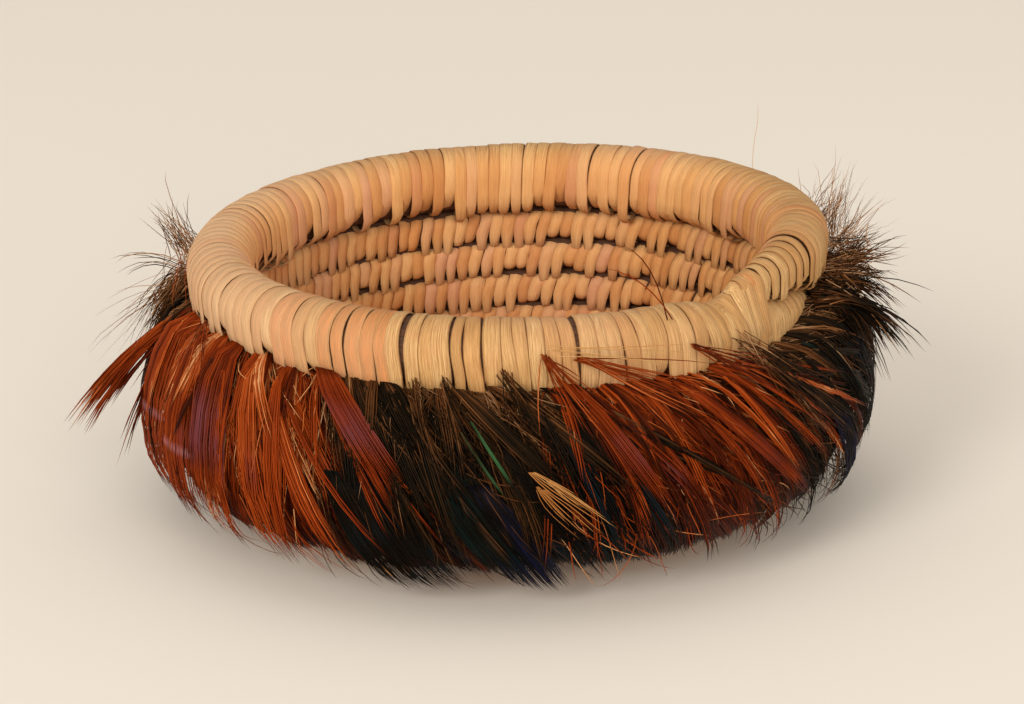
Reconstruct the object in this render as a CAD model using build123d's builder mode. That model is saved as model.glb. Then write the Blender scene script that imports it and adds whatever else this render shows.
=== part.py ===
"""Coiled basket with a thick wrapped rim and a skirt of overlapping feathers.

The origin is the middle of the underside, +Z is up and the basket opens upwards.
Azimuth 0 is the front, on -Y, and grows towards +X.
"""

from build123d import *
import math
import os

os.makedirs("parts", exist_ok=True)

# Sizes of the coiled body
rim_outside_diameter = 95.0
basket_height = 44.0
rim_thickness = 9.7
rim_end_thickness = 2.4
coil_thickness = 4.4
round_gap = 0.7
knot_least_radius = 0.9
knot_clearance = 0.2
corner_radius = 14.0
wall_lean_degrees = 4.0
coil_end_azimuth = 48.0

# Wrapping of the rim
rim_stitches_per_round = 136
stitch_groove_depth = 0.4
wrapping_thickness = 0.8
foundation_clearance = 0.1

# Feathers of the skirt, the upper ones over the lower ones
feather_thickness = 0.3
feather_seat_gap = 0.3
upper_feather_width = 3.4
upper_feather_bulge = 7.6
upper_tip_radius = 46.0
upper_tip_height = 2.8
lower_feather_width = 5.4
lower_feather_bulge = 2.8
lower_tip_radius = 41.0
lower_tip_height = 0.7
copper_layer_lift = 1.6
feather_shingle_degrees = 18.0

# Loose feathers and down that stand off the skirt
spray_width = 2.8
copper_spray_bulge = 12.0
copper_spray_tip_radius = 65.0
copper_spray_tip_height = 7.0
dark_spray_bulge = 8.0
dark_spray_tip_radius = 59.0
dark_spray_tip_height = 19.0
down_width = 2.2
down_bulge = 6.0
down_tip_radius = 55.0
left_down_tip_height = 35.0
right_down_tip_height = 41.0
buff_feather_width = 2.4
buff_feather_bulge = 10.5
buff_layer_lift = 3.4
buff_tip_height = 8.0

# Counts and shares that set the form
facets_per_round = 24
wrapping_facets_per_round = 40
cord_sides = 8
flat_cut_share = 0.1
taper_share = 0.13
thinning_start_share = 0.96
thinning_share = 0.2
ragged_share = 0.14
feather_overlap_share = 1.2
root_share = 0.86
upper_row = 1
lower_row = 4

# A feather's hanging line: where its bulge begins and ends, and how far it has dropped there
bulge_begins_share = 0.6
bulge_begins_drop_share = 0.15
bulge_ends_share = 1.7
bulge_ends_drop_share = 0.75
tangent_share = 0.05
ragged_phase = 2.4

# Along a feather, from root to tip: place, width and thickness
feather_shares = [(0, 0.25, 0.8), (0.22, 0.75, 1), (0.5, 1, 1), (0.77, 0.8, 1), (1, 0.2, 0.8)]

coil_radius = coil_thickness / 2
rim_radius = rim_thickness / 2
rim_end_radius = rim_end_thickness / 2
pitch = coil_thickness + round_gap
vertex_stretch = 1 / math.cos(math.pi / cord_sides)

# Profile of the body: a flat base, a rounded corner and a slightly leaning wall
turn_up = math.radians(90 - wall_lean_degrees)
base_height = coil_radius - coil_thickness * flat_cut_share
rim_centre_radius = (rim_outside_diameter - rim_thickness) / 2
coil_end_height = basket_height - rim_thickness + coil_radius + pitch * taper_share
corner_top = base_height + corner_radius * (1 - math.cos(turn_up))
wall_length = (coil_end_height - corner_top) / math.sin(turn_up)
flat_radius = rim_centre_radius - corner_radius * math.sin(turn_up) - wall_length * math.cos(turn_up)
corner_length = corner_radius * turn_up
profile_length = flat_radius + corner_length + wall_length


def profile_point(distance):
    """Radius and height at a distance from the axis, measured along the body's profile."""
    if distance < flat_radius:
        return distance, base_height
    beyond = distance - flat_radius
    angle = min(beyond / corner_radius, turn_up)
    straight = max(beyond - corner_length, 0)
    radius = flat_radius + corner_radius * math.sin(angle) + straight * math.cos(turn_up)
    height = base_height + corner_radius * (1 - math.cos(angle)) + straight * math.sin(turn_up)
    return radius, height


def profile_slope(distance):
    """Angle between the profile and the floor, so that the cord's flats face its neighbours."""
    return min(max(distance - flat_radius, 0) / corner_radius, turn_up)


def ease(share):
    """Rises from 0 to 1, quickly at first."""
    share = min(max(share, 0), 1)
    return 1 - (1 - share) ** 2


def cord_radius(turns):
    """Half thickness of the coil, a number of turns before its end."""
    thinned = ease((turns - thinning_start_share) / thinning_share)
    thick = rim_radius - (rim_radius - coil_radius) * thinned
    return rim_end_radius + (thick - rim_end_radius) * ease(turns / taper_share)


def coil_centre(turns):
    """Radius and height of the coil's centre, stacked on the round below it."""
    radius, height = profile_point(profile_length - pitch * turns)
    below = 2 * (cord_radius(turns + 1) - coil_radius)
    return radius, height + below + cord_radius(turns) - coil_radius


def outward_at(azimuth):
    """Level direction away from the axis."""
    angle = math.radians(azimuth)
    return Vector(math.sin(angle), -math.cos(angle), 0)


def section_corners(turns, inset=0):
    """Radius and height of the corners of the coil's section, flat where it meets the floor."""
    radius, height = coil_centre(turns)
    reach = (cord_radius(turns) - inset) * vertex_stretch
    turned = profile_slope(profile_length - pitch * turns)
    angles = [turned + 2 * math.pi * (side + 0.5) / cord_sides for side in range(cord_sides)]
    return [(radius + reach * math.cos(a), max(height + reach * math.sin(a), 0)) for a in angles]


def cord_section(turns, inset=0):
    """The coil's section, in the upright plane through the axis where the coil passes."""
    outward = outward_at(coil_end_azimuth + 360 * turns)
    upright = Plane(origin=(0, 0, 0), x_dir=outward, z_dir=outward.cross(Vector(0, 0, 1)))
    with BuildSketch(upright) as section:
        Polygon(*section_corners(turns, inset), align=None)
    return section.sketch


def coil_stretch(first_turns, last_turns, steps_per_round, inset=0):
    """Sections of the coil between two places, given in turns before its end."""
    steps = round((first_turns - last_turns) * steps_per_round)
    return [cord_section(first_turns - step / steps_per_round, inset) for step in range(steps + 1)]


# The coil's stretches, in turns before its end, each a whole number of facets long
start_distance = knot_least_radius + knot_clearance + coil_radius
start_turns = math.floor((profile_length - start_distance) / pitch * facets_per_round) / facets_per_round
corner_turns = round((wall_length + corner_length / 2) / pitch * facets_per_round) / facets_per_round
rim_turns = math.ceil((thinning_start_share + thinning_share) * facets_per_round) / facets_per_round
foundation_end_turns = taper_share / 2


def least_gap(first_turns, last_turns):
    """Least distance between the corners of neighbouring rounds, a turn apart."""
    steps = math.floor((first_turns - last_turns - 1) * facets_per_round)
    gaps = []
    for step in range(steps + 1):
        turns = first_turns - step / facets_per_round
        outer = section_corners(turns - 1)
        gaps.extend(math.dist(corner, other) for corner in section_corners(turns) for other in outer)
    return min(gaps)


print(f"rounds of the coil {start_turns:.2f}, least gap to itself {least_gap(start_turns, 0):.2f} mm")

# The knot fills the eye of the coil, so its outline follows the inside of the first round
knot_outline = []
for step in range(facets_per_round):
    turns = start_turns - step / facets_per_round
    inside = coil_centre(turns)[0] - coil_radius - knot_clearance
    knot_outline.append(outward_at(coil_end_azimuth + 360 * turns) * inside)
with BuildPart() as start_knot:
    with BuildSketch():
        Polygon(*knot_outline, align=None)
    extrude(amount=base_height + coil_radius - knot_clearance)
    chamfer(start_knot.edges().group_by(Axis.Z)[-1], length=knot_clearance)
start_knot.part.label = "start_knot"
export_step(start_knot.part, "parts/start_knot.step")

with BuildPart() as base_coil:
    loft(coil_stretch(start_turns, corner_turns, facets_per_round), ruled=True)
base_coil.part.label = "base_coil"
export_step(base_coil.part, "parts/base_coil.step")

with BuildPart() as wall_coil:
    loft(coil_stretch(corner_turns, rim_turns, facets_per_round), ruled=True)
wall_coil.part.label = "wall_coil"
export_step(wall_coil.part, "parts/wall_coil.step")

with BuildPart() as rim_foundation:
    core_inset = wrapping_thickness + foundation_clearance
    loft(coil_stretch(rim_turns, foundation_end_turns, wrapping_facets_per_round, core_inset), ruled=True)
rim_foundation.part.label = "rim_foundation"
export_step(rim_foundation.part, "parts/rim_foundation.step")

# Each stitch of the rim rises from one groove to the next
ridge_steps = 2 * rim_stitches_per_round
ridge_sections = []
for step in range(round(rim_turns * ridge_steps), -1, -1):
    ridge_sections.append(cord_section(step / ridge_steps, stitch_groove_depth * ((step + 1) % 2)))
with BuildPart() as rim_wrapping:
    loft(ridge_sections, ruled=True)
    hollow = coil_stretch(rim_turns, foundation_end_turns, wrapping_facets_per_round, wrapping_thickness)
    loft(hollow, ruled=True, mode=Mode.SUBTRACT)
rim_wrapping.part.label = "rim_wrapping"
export_step(rim_wrapping.part, "parts/rim_wrapping.step")


def drape_point(share, root, bulge, tip, lift):
    """Radius and height along a feather that bulges out from its root and curls under."""
    drop = root[1] - tip[1]
    above = (root[0] + bulge_begins_share * bulge, root[1] - bulge_begins_drop_share * drop)
    below = (root[0] + bulge_ends_share * bulge, root[1] - bulge_ends_drop_share * drop)
    weights = ((1 - share) ** 3, 3 * share * (1 - share) ** 2, 3 * share**2 * (1 - share), share**3)
    radius = sum(w * p[0] for w, p in zip(weights, (root, above, below, tip)))
    height = sum(w * p[1] for w, p in zip(weights, (root, above, below, tip)))
    return radius + lift * ease(2 * share), height


def feather_sections(azimuth, lean, reach, root, bulge, tip, width, lift=0):
    """Thin four-sided sections of one feather that leans sideways as it hangs."""
    twist = math.degrees(math.tan(math.radians(lean)) * (root[1] - tip[1]) / root[0])
    tilt = math.radians(feather_shingle_degrees)
    up = Vector(0, 0, 1)
    sections = []
    for place_share, width_share, thickness_share in feather_shares:
        share = min(place_share, reach)
        before, after = max(share - tangent_share, 0), min(share + tangent_share, 1)
        radius, height = drape_point(share, root, bulge, tip, lift)
        radius_before, height_before = drape_point(before, root, bulge, tip, lift)
        radius_after, height_after = drape_point(after, root, bulge, tip, lift)
        outward = outward_at(azimuth + twist * share)
        start = outward_at(azimuth + twist * before) * radius_before + up * height_before
        end = outward_at(azimuth + twist * after) * radius_after + up * height_after
        along = (end - start).normalized()
        face = outward * (height_before - height_after) + up * (radius_after - radius_before)
        side = along.cross(face).normalized()
        flat = side * math.cos(tilt) + side.cross(along) * math.sin(tilt)
        half_width = width * width_share / 2
        half_thickness = feather_thickness * thickness_share / 2
        with BuildSketch(Plane(origin=outward * radius + up * height, x_dir=flat, z_dir=along)) as section:
            Rectangle(2 * half_width, 2 * half_thickness)
        sections.append(section.sketch)
    return sections


def groove_seat(azimuth, row):
    """Radius and height of a feather's root in the groove above a round, counted from the top."""
    turns = (azimuth - coil_end_azimuth) % 360 / 360 + row
    if turns < thinning_start_share + thinning_share:
        turns = turns + 1
    radius, height = coil_centre(turns)
    return radius + coil_radius * root_share, height + coil_radius + feather_thickness / 2


def outside_seat(azimuth, row):
    """Radius and height of a feather's root on the outside of a round, counted from the top."""
    turns = (azimuth - coil_end_azimuth) % 360 / 360 + row
    radius, height = coil_centre(turns)
    return radius + coil_radius * vertex_stretch + feather_seat_gap + feather_thickness / 2, height


# Groups of feathers round the basket: first azimuth, lean there in degrees, tufts above and below
feather_groups = [
    ("copper_left", -77, 22, 3, 2),
    ("dark_front", -31, 27, 3, 2),
    ("copper_right", 5, 31, 3, 3),
    ("dark_right", 46, 36, 3, 3),
    ("copper_back_right", 95, 31, 3, 2),
    ("dark_back", 137, 29, 3, 3),
    ("copper_back_left", 182, 30, 3, 2),
    ("dark_left", 226, 27, 4, 3),
]
upper_feathers_per_tuft = 4
lower_feathers_per_tuft = 3

# Loose tufts, each rooted between two upper feathers of a group: the feather that it comes after,
# how many it has and how it fans out in degrees
loose_tufts = [
    ("copper_spray", "dark_left", 11, 4, (-14, 14)),
    ("dark_spray", "dark_right", 9, 3, (0, 14)),
    ("down_left", "dark_left", 3, 4, (-12, 12)),
    ("down_right", "copper_back_right", 3, 4, (-12, 12)),
    ("buff_feather", "copper_right", 1, 1, (32, 32)),
]


def make_tufts(name, span, leans, tufts, feathers_per_tuft, seat, row, bulge, tip, widest, lift):
    """Makes one tier of a group, a node for each tuft, with its feathers side by side."""
    total = tufts * feathers_per_tuft
    spacing = (span[1] - span[0]) / total
    for tuft_number in range(tufts):
        with BuildPart() as tuft:
            for count in range(tuft_number * feathers_per_tuft, (tuft_number + 1) * feathers_per_tuft):
                azimuth = span[0] + (count + 0.5) * spacing
                lean = leans[0] + (count + 0.5) * (leans[1] - leans[0]) / total
                root = seat(azimuth, row)
                beside = (root[0] + bulge) * math.radians(spacing) * math.cos(math.radians(lean))
                width = min(widest, feather_overlap_share * beside)
                reach = 1 - ragged_share * abs(math.sin(count * ragged_phase))
                loft(feather_sections(azimuth, lean, reach, root, bulge, tip, width, lift), ruled=True)
        tuft.part.label = f"{name}_tuft_{tuft_number + 1}"
        export_step(tuft.part, f"parts/{tuft.part.label}.step")


upper_tip = (upper_tip_radius, upper_tip_height)
lower_tip = (lower_tip_radius, lower_tip_height)
upper_spacings = {}
for group_number, (group, first, lean, upper_tufts, lower_tufts) in enumerate(feather_groups):
    next_group = feather_groups[(group_number + 1) % len(feather_groups)]
    span = (first, first + (next_group[1] - first) % 360)
    leans = (lean, next_group[2])
    lift = copper_layer_lift if group.startswith("copper") else 0
    upper_spacings[group] = (first, (span[1] - span[0]) / (upper_tufts * upper_feathers_per_tuft))
    make_tufts(
        f"{group}_upper", span, leans, upper_tufts, upper_feathers_per_tuft, groove_seat, upper_row,
        upper_feather_bulge, upper_tip, upper_feather_width, lift,
    )
    make_tufts(
        f"{group}_lower", span, leans, lower_tufts, lower_feathers_per_tuft, outside_seat, lower_row,
        lower_feather_bulge, lower_tip, lower_feather_width, 0,
    )

# How far each loose tuft bulges, where its tips end, its width and its lift off the skirt
loose_forms = {
    "copper_spray": (copper_spray_bulge, (copper_spray_tip_radius, copper_spray_tip_height), spray_width, 0),
    "dark_spray": (dark_spray_bulge, (dark_spray_tip_radius, dark_spray_tip_height), spray_width, 0),
    "down_left": (down_bulge, (down_tip_radius, left_down_tip_height), down_width, 0),
    "down_right": (down_bulge, (down_tip_radius, right_down_tip_height), down_width, 0),
    "buff_feather": (
        buff_feather_bulge, (upper_tip_radius, buff_tip_height), buff_feather_width, buff_layer_lift,
    ),
}
for name, group, feathers_before, feathers, leans in loose_tufts:
    bulge, tip, widest, lift = loose_forms[name]
    first, spacing = upper_spacings[group]
    start = first + (feathers_before - 0.5) * spacing
    span = (start, start + feathers * spacing)
    make_tufts(name, span, leans, 1, feathers, groove_seat, upper_row, bulge, tip, widest, lift)
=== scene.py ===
"""Feathered coil basket: a stitched coil body, a thick wrapped rim and a skirt of barbed feathers."""

import math

import bpy
import numpy as np
from mathutils import Matrix, Vector


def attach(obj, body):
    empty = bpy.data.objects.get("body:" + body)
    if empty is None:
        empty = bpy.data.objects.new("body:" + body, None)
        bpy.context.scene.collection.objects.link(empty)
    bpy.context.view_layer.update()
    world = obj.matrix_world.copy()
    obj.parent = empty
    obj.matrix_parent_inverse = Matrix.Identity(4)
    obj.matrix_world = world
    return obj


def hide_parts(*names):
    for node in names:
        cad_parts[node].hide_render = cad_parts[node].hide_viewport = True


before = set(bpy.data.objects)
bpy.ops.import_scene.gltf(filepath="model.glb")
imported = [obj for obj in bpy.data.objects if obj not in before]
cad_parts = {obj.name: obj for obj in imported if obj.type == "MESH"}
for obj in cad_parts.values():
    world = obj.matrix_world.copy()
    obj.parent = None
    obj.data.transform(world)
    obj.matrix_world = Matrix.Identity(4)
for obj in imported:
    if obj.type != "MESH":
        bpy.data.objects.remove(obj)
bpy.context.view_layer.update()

bl_info = {
    "name": "Feathered coil basket",
    "version": (1, 0, 0),
    "blender": (4, 5, 0),
    "location": "View3D > Sidebar > Basket",
    "description": "Dresses a small coiled basket with its stitches and its skirt of feathers",
    "category": "Add Mesh",
}

MM = 0.001
BODY = "root"
NODES = set(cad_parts)


def length(name, description, default):
    """A length that a user may change."""
    return bpy.props.FloatProperty(name=name, description=description, default=default, unit="LENGTH")


def turn(name, description, degrees):
    """An angle that a user may change."""
    return bpy.props.FloatProperty(
        name=name, description=description, default=math.radians(degrees), subtype="ANGLE")


class BasketSizes(bpy.types.PropertyGroup):
    """Sizes of the coiled body, as in the solids."""

    rim_diameter: length("Rim diameter", "Across the rim, outside", 95 * MM)
    height: length("Height", "From the underside to the top of the rim", 44 * MM)
    rim_thickness: length("Rim thickness", "Across the wrapped rim roll", 9.7 * MM)
    rim_end_thickness: length("Rim end", "Across the tapered end of the rim", 2.4 * MM)
    coil_thickness: length("Coil thickness", "Across one round of the body", 4.4 * MM)
    round_gap: length("Round gap", "Between neighbouring rounds", 0.7 * MM)
    corner_radius: length("Corner radius", "Where the base turns up", 14 * MM)
    wall_lean: turn("Wall lean", "Outward lean of the wall", 4)
    end_azimuth: turn("End", "Where the coil ends, from the front", 48)
    stitch_pitch: length("Stitch pitch", "From one rim stitch to the next, along the coil", 1.98 * MM)


class Coil:
    """Centre line and thickness of the coil, by the number of turns before its end."""

    taper = 0.13
    thinning_start = 0.96
    thinning = 0.2
    flat_cut = 0.1
    knot_space = 1.1 * MM

    def __init__(self, sizes):
        self.coil_radius = sizes.coil_thickness / 2
        self.rim_radius = sizes.rim_thickness / 2
        self.end_radius = sizes.rim_end_thickness / 2
        self.pitch = sizes.coil_thickness + sizes.round_gap
        self.azimuth = sizes.end_azimuth
        self.corner = sizes.corner_radius
        self.turn_up = math.pi / 2 - sizes.wall_lean
        self.base_height = self.coil_radius - sizes.coil_thickness * self.flat_cut
        rim_centre = (sizes.rim_diameter - sizes.rim_thickness) / 2
        end_height = sizes.height - sizes.rim_thickness + self.coil_radius + self.pitch * self.taper
        corner_top = self.base_height + self.corner * (1 - math.cos(self.turn_up))
        self.wall_length = (end_height - corner_top) / math.sin(self.turn_up)
        self.flat_radius = (
            rim_centre - self.corner * math.sin(self.turn_up) - self.wall_length * math.cos(self.turn_up))
        self.corner_length = self.corner * self.turn_up
        self.length = self.flat_radius + self.corner_length + self.wall_length
        self.start_turns = (self.length - self.coil_radius - self.knot_space) / self.pitch
        self.corner_turns = (self.wall_length + self.corner_length / 2) / self.pitch
        self.rim_turns = self.thinning_start + self.thinning

    def profile(self, distance):
        """Radius, height and slope along the body's profile."""
        beyond = np.maximum(distance - self.flat_radius, 0)
        slope = np.minimum(beyond / self.corner, self.turn_up)
        straight = np.maximum(beyond - self.corner_length, 0)
        radius = np.minimum(distance, self.flat_radius) + self.corner * np.sin(slope)
        height = self.base_height + self.corner * (1 - np.cos(slope))
        return radius + straight * math.cos(self.turn_up), height + straight * math.sin(self.turn_up), slope

    def thickness(self, turns):
        """Half thickness of the cord."""
        ease = lambda share: 1 - (1 - np.clip(share, 0, 1)) ** 2
        thinned = ease((turns - self.thinning_start) / self.thinning)
        thick = self.rim_radius - (self.rim_radius - self.coil_radius) * thinned
        return self.end_radius + (thick - self.end_radius) * ease(turns / self.taper)

    def centre(self, turns):
        """Radius, height, slope and half thickness, stacked on the round below."""
        radius, height, slope = self.profile(self.length - self.pitch * turns)
        half = self.thickness(turns)
        lift = 2 * (self.thickness(turns + 1) - self.coil_radius) + half - self.coil_radius
        return radius, height + lift, slope, half

    def point(self, turns, reach, angle):
        """Places on the cord: turned round its section by an angle, at a reach from its centre line."""
        radius, height, slope, _ = self.centre(turns)
        azimuth = self.azimuth + 2 * math.pi * turns
        away = radius + reach * np.cos(angle + slope)
        up = np.maximum(height + reach * np.sin(angle + slope), 0)
        return np.stack([away * np.sin(azimuth), -away * np.cos(azimuth), up], -1)

    def evenly(self, first, last, spacing):
        """Numbers of turns, an even distance apart along the coil, from first down to last."""
        turns = np.linspace(first, last, 4000)
        radius = self.centre(turns)[0]
        steps = np.abs(np.diff(turns)) * math.pi * (radius[1:] + radius[:-1])
        run = np.concatenate([[0], np.cumsum(steps)])
        count = max(int(run[-1] / spacing), 1)
        return np.interp((np.arange(count) + 0.5) / count * run[-1], run, turns)


def outward(azimuth):
    """Level directions away from the axis."""
    return np.stack([np.sin(azimuth), -np.cos(azimuth), np.zeros_like(azimuth)], -1)


def linear(red, green_sheen, blue):
    """A colour seen on a screen, given in 0 to 255, as a shader's colour."""
    values = [c / 255 for c in (red, green_sheen, blue)]
    return tuple(c / 12.92 if c <= 0.04045 else ((c + 0.055) / 1.055) ** 2.4 for c in values) + (1,)


def read_master(obj):
    """Vertices and faces of a modelled shape, which is then removed."""
    mesh = obj.data
    places = np.zeros(len(mesh.vertices) * 3)
    mesh.vertices.foreach_get("co", places)
    faces = [tuple(p.vertices) for p in mesh.polygons]
    bpy.data.objects.remove(obj, do_unlink=True)
    bpy.data.meshes.remove(mesh)
    return places.reshape(-1, 3), faces


class Batch:
    """Gathers many copies of shapes, with values for their materials, into one mesh."""

    def __init__(self, *names):
        self.names = names
        self.places, self.loops, self.sizes = [], [], []
        self.values = {name: [] for name in names}
        self.count = 0

    def add(self, places, faces, **values):
        """Adds copies of a shape: places is copies by vertices by three."""
        copies, each = places.shape[:2]
        corners = np.concatenate([np.array(f) for f in faces])
        sizes = np.array([len(f) for f in faces])
        shift = self.count + np.arange(copies)[:, None] * each
        self.loops.append((corners[None, :] + shift).ravel())
        self.sizes.append(np.tile(sizes, copies))
        self.places.append(places.reshape(-1, 3))
        for name in self.names:
            value = np.asarray(values.get(name, 0.0), float)
            if value.ndim == 1:
                value = value[:, None]
            self.values[name].append(np.broadcast_to(value, (copies, each)).ravel())
        self.count += copies * each

    def build(self, name, material):
        """Makes the object."""
        places = np.concatenate(self.places)
        loops, sizes = np.concatenate(self.loops), np.concatenate(self.sizes)
        mesh = bpy.data.meshes.new(name)
        mesh.vertices.add(len(places))
        mesh.vertices.foreach_set("co", places.ravel())
        mesh.loops.add(len(loops))
        mesh.loops.foreach_set("vertex_index", loops.astype(np.int32))
        mesh.polygons.add(len(sizes))
        starts = np.concatenate([[0], np.cumsum(sizes)[:-1]])
        mesh.polygons.foreach_set("loop_start", starts.astype(np.int32))
        mesh.polygons.foreach_set("use_smooth", np.ones(len(sizes), bool))
        for value_name, parts in self.values.items():
            attribute = mesh.attributes.new(value_name, "FLOAT", "POINT")
            attribute.data.foreach_set("value", np.concatenate(parts).astype(np.float32))
        mesh.update(calc_edges=True)
        mesh.validate()
        obj = bpy.data.objects.new(name, mesh)
        bpy.context.scene.collection.objects.link(obj)
        mesh.materials.append(material)
        return obj


def settle(obj, slot, *nodes):
    """Makes a piece ride on the basket and stand for its solids."""
    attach(obj, BODY)
    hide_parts(*[node for node in nodes if node in NODES])


class Shader:
    """Short ways to build a material's nodes."""

    def __init__(self, name):
        self.material = bpy.data.materials.new(name)
        self.material.use_nodes = True
        self.nodes = self.material.node_tree.nodes
        self.links = self.material.node_tree.links
        self.surface = self.nodes["Principled BSDF"]

    def node(self, kind, settings=None, **inputs):
        """Adds a node; an input is a value or another node's output."""
        made = self.nodes.new(kind)
        for key, value in (settings or {}).items():
            setattr(made, key, value)
        for key, value in inputs.items():
            self.put(made.inputs[int(key[1:]) if key[1:].isdigit() else key.replace("_", " ")], value)
        return made

    def put(self, socket, value):
        """Links a node's output to a socket, or sets the socket's value."""
        if isinstance(value, bpy.types.NodeSocket):
            self.links.new(value, socket)
        else:
            socket.default_value = value

    def value(self, name):
        """An attribute of the mesh."""
        return self.node("ShaderNodeAttribute", {"attribute_name": name}).outputs["Fac"]

    def math(self, operation, first, second=0.0, clamp=False):
        settings = {"operation": operation, "use_clamp": clamp}
        return self.node("ShaderNodeMath", settings, i0=first, i1=second).outputs[0]

    def times(self, first, second, clamp=False):
        return self.math("MULTIPLY", first, second, clamp)

    def minus(self, first, second, clamp=False):
        return self.math("SUBTRACT", first, second, clamp)

    def over(self, value, floor, gain):
        """How far a value lies over a floor, times a gain, kept between 0 and 1."""
        return self.times(self.minus(value, floor, True), gain, True)

    def mix(self, share, first, second):
        """Two colours mixed."""
        made = self.node("ShaderNodeMix", {"data_type": "RGBA"})
        self.put(made.inputs[0], share)
        self.put(made.inputs[6], first)
        self.put(made.inputs[7], second)
        return made.outputs[2]

    def ramp(self, share, *stops):
        """A colour between stops, each a place, a red, a green and a blue."""
        made = self.node("ShaderNodeValToRGB", None, Fac=share)
        ramp = made.color_ramp
        while len(ramp.elements) < len(stops):
            ramp.elements.new(0.5)
        for element, (place, *colour) in zip(ramp.elements, stops):
            element.position = place
            element.color = linear(*colour)
        return made.outputs[0]

    def noise(self, vector, scale, detail=3.0, roughness=0.5):
        return self.node(
            "ShaderNodeTexNoise", None, Vector=vector, Scale=scale, Detail=detail, Roughness=roughness).outputs["Fac"]

    def vector(self, x=0.0, y=0.0, z=0.0):
        return self.node("ShaderNodeCombineXYZ", None, X=x, Y=y, Z=z).outputs[0]

    def place(self):
        """Object coordinates."""
        return self.node("ShaderNodeTexCoord").outputs["Object"]

    def finish(self, colour, roughness, bump=None, bump_height=0.0, strength=0.5, **constants):
        """Connects the surface and gives back the material."""
        self.put(self.surface.inputs["Base Color"], colour)
        self.put(self.surface.inputs["Roughness"], roughness)
        if bump is not None:
            made = self.node("ShaderNodeBump", None, Strength=strength, Distance=bump_height, Height=bump)
            self.put(self.surface.inputs["Normal"], made.outputs[0])
        for name, value in constants.items():
            self.surface.inputs[name.replace("_", " ")].default_value = value
        return self.material


def splint_material():
    """Split plant strips: pale straw with fine fibres along them, some stained orange; painted light makes the left
    side paler, painted shade darkens the strips' edges in the gaps, and painted warm bounce light tints their inner
    sides.
    """
    s = Shader("splint")
    along, across, chance, stain = s.value("along"), s.value("across"), s.value("chance"), s.value("stain")
    fibres = s.noise(s.vector(s.times(across, 3.2), s.times(along, 1.3), s.times(chance, 90.0)), 2.6, 5.0, 0.65)
    tone = s.ramp(chance, (0.0, 210, 160, 102), (0.3, 228, 182, 122), (0.6, 238, 196, 136), (0.85, 226, 176, 114),
                  (1.0, 216, 158, 98))
    orange = s.mix(s.times(fibres, 1.3, True), linear(206, 108, 50), linear(232, 146, 82))
    edge = s.math("POWER", s.math("ABSOLUTE", across), 8.0)
    core = s.minus(1.0, s.times(s.math("POWER", s.math("ABSOLUTE", across), 4.0), 0.9))
    toned = s.mix(s.times(s.times(stain, 0.95), core), tone, orange)
    streaked = s.mix(s.over(fibres, 0.36, 3.2), linear(172, 124, 72), toned)
    blotch = s.noise(s.place(), 150.0, 4.0, 0.65)
    stained = s.mix(s.over(blotch, 0.52, 2.2), streaked, linear(196, 134, 86))
    pink = s.noise(s.place(), 32.0, 2.0, 0.5)
    washed = s.mix(s.over(pink, 0.5, 2.0), stained, linear(222, 168, 128))
    # Painted light: the side at negative x, towards the key lamp on the left, turns paler and its edge shade weaker.
    aside = s.node("ShaderNodeSeparateXYZ", None, i0=s.place()).outputs[0]
    pale = s.over(s.times(aside, -1.0), 16 * MM, 40.0)
    with_painted_light = s.mix(s.times(pale, 0.4), washed, linear(238, 196, 160))
    # Painted shade: each strip darkens towards its edges, in the gaps between stitches, less on the lit left and on
    # stains.
    gap_shade = s.times(edge, s.minus(0.8, s.times(s.math("MAXIMUM", pale, stain), 0.5)))
    colour = s.mix(gap_shade, with_painted_light, linear(130, 80, 40))
    # Painted warm bounce light and shade: the inner sides of the loops, facing into the bowl, lean to a warmer ramp.
    painted_bounce = s.ramp(chance, (0.0, 224, 144, 78), (0.45, 244, 172, 100), (0.7, 250, 186, 118), (0.9, 236, 166, 126),
                  (1.0, 220, 140, 84))
    with_painted_bounce = s.mix(s.value("inside"), colour, s.mix(0.6, colour, painted_bounce))
    return s.finish(with_painted_bounce, 0.62, fibres, 0.18 * MM, 0.85, Specular_IOR_Level=0.22)


def grass_material():
    """The bundle inside the coil: dry grass seen only between the strips, its dark brown colour painted shade for
    those gaps.
    """
    s = Shader("grass_bundle")
    blades = s.noise(s.vector(s.times(s.value("across"), 9.0), s.times(s.value("along"), 60.0)), 4.0, 3.0, 0.6)
    return s.finish(s.ramp(blades, (0.3, 40, 21, 9), (0.7, 104, 62, 30)), 0.75, blades, 0.2 * MM, 0.6)


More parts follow.
